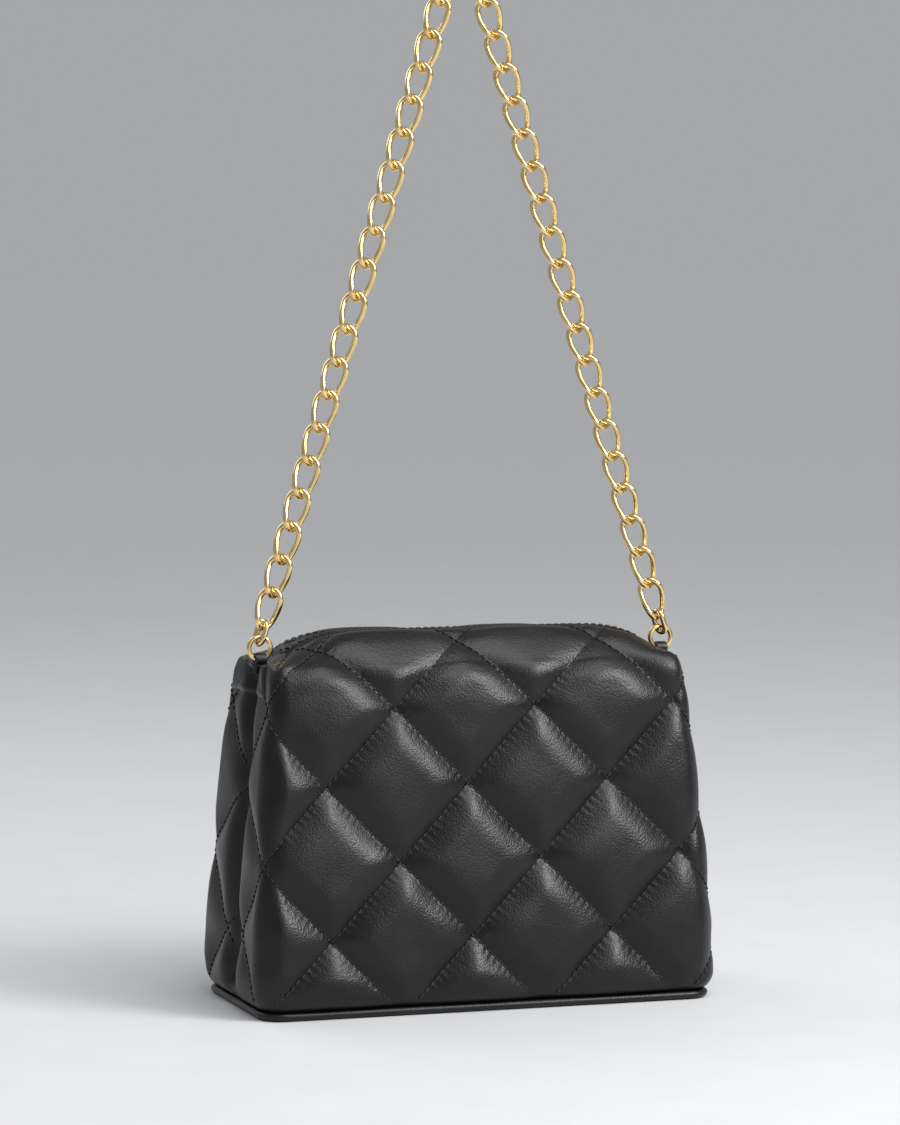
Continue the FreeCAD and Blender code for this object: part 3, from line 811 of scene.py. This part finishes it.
for word, mouth, side in (("front", "front_mouth", -1), ("back", "rear_mouth", 1)):
    low, high = nodeBox(word + "_zip_tape")
    verts, faces = tapeStrip(low, high)
    tape = makePiece(word + "ZipTape", verts, faces, tapeWeave)
    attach(tape, mouth)
    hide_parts(word + "_zip_tape")
    low, high = nodeBox(word + "_zip_coil")
    far = side * max(abs(low[1]), abs(high[1]))
    verts, faces = coilRow(low[0], high[0], side, far, low[2], high[2] - low[2])
    coil = makePiece(word + "ZipCoil", verts, faces, coilNylon)
    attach(coil, mouth)
    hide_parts(word + "_zip_coil")
coilLow, coilHigh = nodeBox("front_zip_coil")
for word, sign in (("left", -1), ("right", 1)):
    low, high = nodeBox(word + "_zip_end")
    stopLow, stopHigh = nodeBox(word + "_zip_stop")
    parts = []
    for side in (-1, 1):
        edges = sorted((side * zipper["gap"], side * high[1]))
        parts.append(tapeStrip((low[0], edges[0], low[2]), (high[0], edges[1], high[2])))
    verts, faces = joined(parts)
    tape = makePiece(word + "ZipEnd", verts, faces, tapeWeave)
    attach(tape, "bag")
    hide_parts(word + "_zip_end")
    span = (low[0], stopLow[0]) if sign > 0 else (stopHigh[0], high[0])
    parts = [coilRow(*span, side, side * stopHigh[1], coilLow[2], coilHigh[2] - coilLow[2])
             for side in (-1, 1)]
    verts, faces = joined(parts)
    coil = makePiece(word + "EndCoil", verts, faces, coilNylon)
    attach(coil, "bag")
print("lining and zip made")

# chain: long oval links of round wire, each given a smooth twist so that the chain lies flat
chain = {
    "wire": 2.4, "visibleWire": 2.5, "bend": 4.7, "straight": 3.9, "twist": 36.0, "slack": 0.35,
    "endStraight": 3.6, "narrowing": 0.92, "bulge": 0.03, "topGap": 0.1,
    "sides": 20, "bendSteps": 30, "runSteps": 14,
    # links in each body, from the ring up
    "counts": (3, 1, 1, 8, 1, 1, 5),
}
reach = chain["straight"] + chain["bend"]
pitch = 2 * reach - chain["wire"] - chain["slack"]


def twistedLink():
    # the link's middle line, standing along Z about its own centre, and the tube round it
    bend = np.linspace(0, math.pi, chain["bendSteps"], endpoint=False)
    run = np.linspace(1, -1, chain["runSteps"], endpoint=False)
    r, tall = chain["bend"], chain["straight"]
    top = np.column_stack([r * np.cos(bend), tall + r * np.sin(bend)])
    left = np.column_stack([np.full(len(run), -r), tall * run])
    flat = np.concatenate([top, left, -top, -left])
    swing = flat[:, 1] / reach * math.pi / 2
    flat[:, 0] *= chain["narrowing"] + chain["bulge"] * np.cos(swing)
    angle = math.radians(chain["twist"]) * np.sin(swing)
    path = np.column_stack([flat[:, 0] * np.cos(angle), -flat[:, 0] * np.sin(angle), flat[:, 1]])
    tangents = unit(np.roll(path, -1, axis=0) - np.roll(path, 1, axis=0))
    outs = path * (1, 1, 0.9)
    outs = unit(outs - tangents * np.sum(outs * tangents, axis=1, keepdims=True))
    return tubeAlong(path, outs, chain["visibleWire"] / 2, chain["sides"])


link = twistedLink()
ringLow, ringHigh = nodeBox("right_ring")
strap = {"ringX": (ringLow + ringHigh)[0] / 2, "y": (ringLow + ringHigh)[1] / 2}
strap["z"] = ringHigh[2] - (ringHigh - ringLow)[1] / 2
topLow, topHigh = nodeBox("top_link")
strandLength = chain["endStraight"] + (sum(chain["counts"]) - 1) * pitch + 2 * reach
strandTop = (topHigh + topLow)[2] / 2 + chain["wire"] + chain["topGap"] - strap["z"]
lean = math.acos(strandTop / strandLength)


def placedLink(side, distance):
    verts = link[0] + (0, 0, distance)
    tilt = -side * lean
    x = verts[:, 0] * math.cos(tilt) + verts[:, 2] * math.sin(tilt)
    z = -verts[:, 0] * math.sin(tilt) + verts[:, 2] * math.cos(tilt)
    verts = np.column_stack([x + side * strap["ringX"], verts[:, 1] + strap["y"], z + strap["z"]])
    return verts, link[1]


done = 0
for number, count in enumerate(chain["counts"], 1):
    parts = [placedLink(side, chain["endStraight"] + reach + k * pitch)
             for side in (-1, 1) for k in range(done, done + count)]
    done += count
    verts, faces = joined(parts)
    piece = makePiece("chainLinks%d" % number, verts, faces, goldPlate)
    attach(piece, "strap_links_%d" % number)
    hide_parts("left_links_%d" % number, "right_links_%d" % number)
verts = link[0][:, [2, 1, 0]] * (-1, 1, 1) + (topLow + topHigh) / 2
piece = makePiece("topLink", verts, link[1], goldPlate)
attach(piece, "top_link")
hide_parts("top_link")
print("chain made, lean %.2f degrees" % math.degrees(lean))

# studio: pale floor, soft lamps, camera at the photograph's angle
floorMaterial, tree, shader, place = newMaterial("painted floor", {"Roughness": 0.7})
speck = addNode(tree, "ShaderNodeTexNoise", {"Scale": 1 / (40 * mm), "Detail": 3}, {"Vector": place})
colour = colourRamp(tree, speck.outputs["Fac"], [(0.3, "#cacbcd"), (0.7, "#cdced0")])
tree.links.new(colour, shader.inputs["Base Color"])
floorMesh = bpy.data.meshes.new("floor")
floorHalf = 60.0
corners = [(x * floorHalf, y * floorHalf, 0) for x, y in ((-1, -1), (1, -1), (1, 1), (-1, 1))]
floorMesh.from_pydata(corners, [], [(0, 1, 2, 3)])
floorMesh.materials.append(floorMaterial)
floor = bpy.data.objects.new("floor", floorMesh)
bpy.context.scene.collection.objects.link(floor)

world = bpy.data.worlds.new("studio")
bpy.context.scene.world = world
world.use_nodes = True
sky = world.node_tree.nodes["Background"]
sky.inputs["Color"].default_value = linear("#dadbdd")
sky.inputs["Strength"].default_value = 0.54

lamps = {
    "keySoftbox": {"kind": "AREA", "place": (0.85, -0.95, 0.95), "size": 0.58, "energy": 18},
    "frontSoftbox": {"kind": "AREA", "place": (0.45, -1.45, 0.65), "size": 0.9, "energy": 4},
    "topSoftbox": {"kind": "AREA", "place": (0.1, -0.6, 1.4), "size": 0.7, "energy": 6},
    "backSoftbox": {"kind": "AREA", "place": (-0.6, 0.9, 1.1), "size": 0.8, "energy": 4},
    "ceiling": {"kind": "SUN", "place": (0.5, -0.8, 1.4), "angle": 1.0, "energy": 0.95},
}
lampAim = (0, 0, 0.1)
for name, lamp in lamps.items():
    light = bpy.data.lights.new(name, lamp["kind"])
    light.energy = lamp["energy"]
    if lamp["kind"] == "SUN":
        light.angle = lamp["angle"]
    else:
        light.size = lamp["size"]
    holder = bpy.data.objects.new(name, light)
    bpy.context.scene.collection.objects.link(holder)
    x, y, z = np.array(lamp["place"]) - lampAim
    holder.location = lamp["place"]
    holder.rotation_euler = (math.atan2(math.hypot(x, y), z), 0, math.atan2(x, -y))

view = {"place": (-0.6008, -1.7912, 0.3176), "yaw": 18.43, "pitch": 3.96, "lens": 141.2}
camera = bpy.data.objects.new("camera", bpy.data.cameras.new("camera"))
camera.data.lens = view["lens"]
camera.data.sensor_width = 36
camera.location = view["place"]
camera.rotation_euler = (math.radians(90 - view["pitch"]), 0, -math.radians(view["yaw"]))
bpy.context.scene.collection.objects.link(camera)
bpy.context.scene.camera = camera
bpy.context.scene.view_settings.view_transform = "Standard"
print("studio ready")
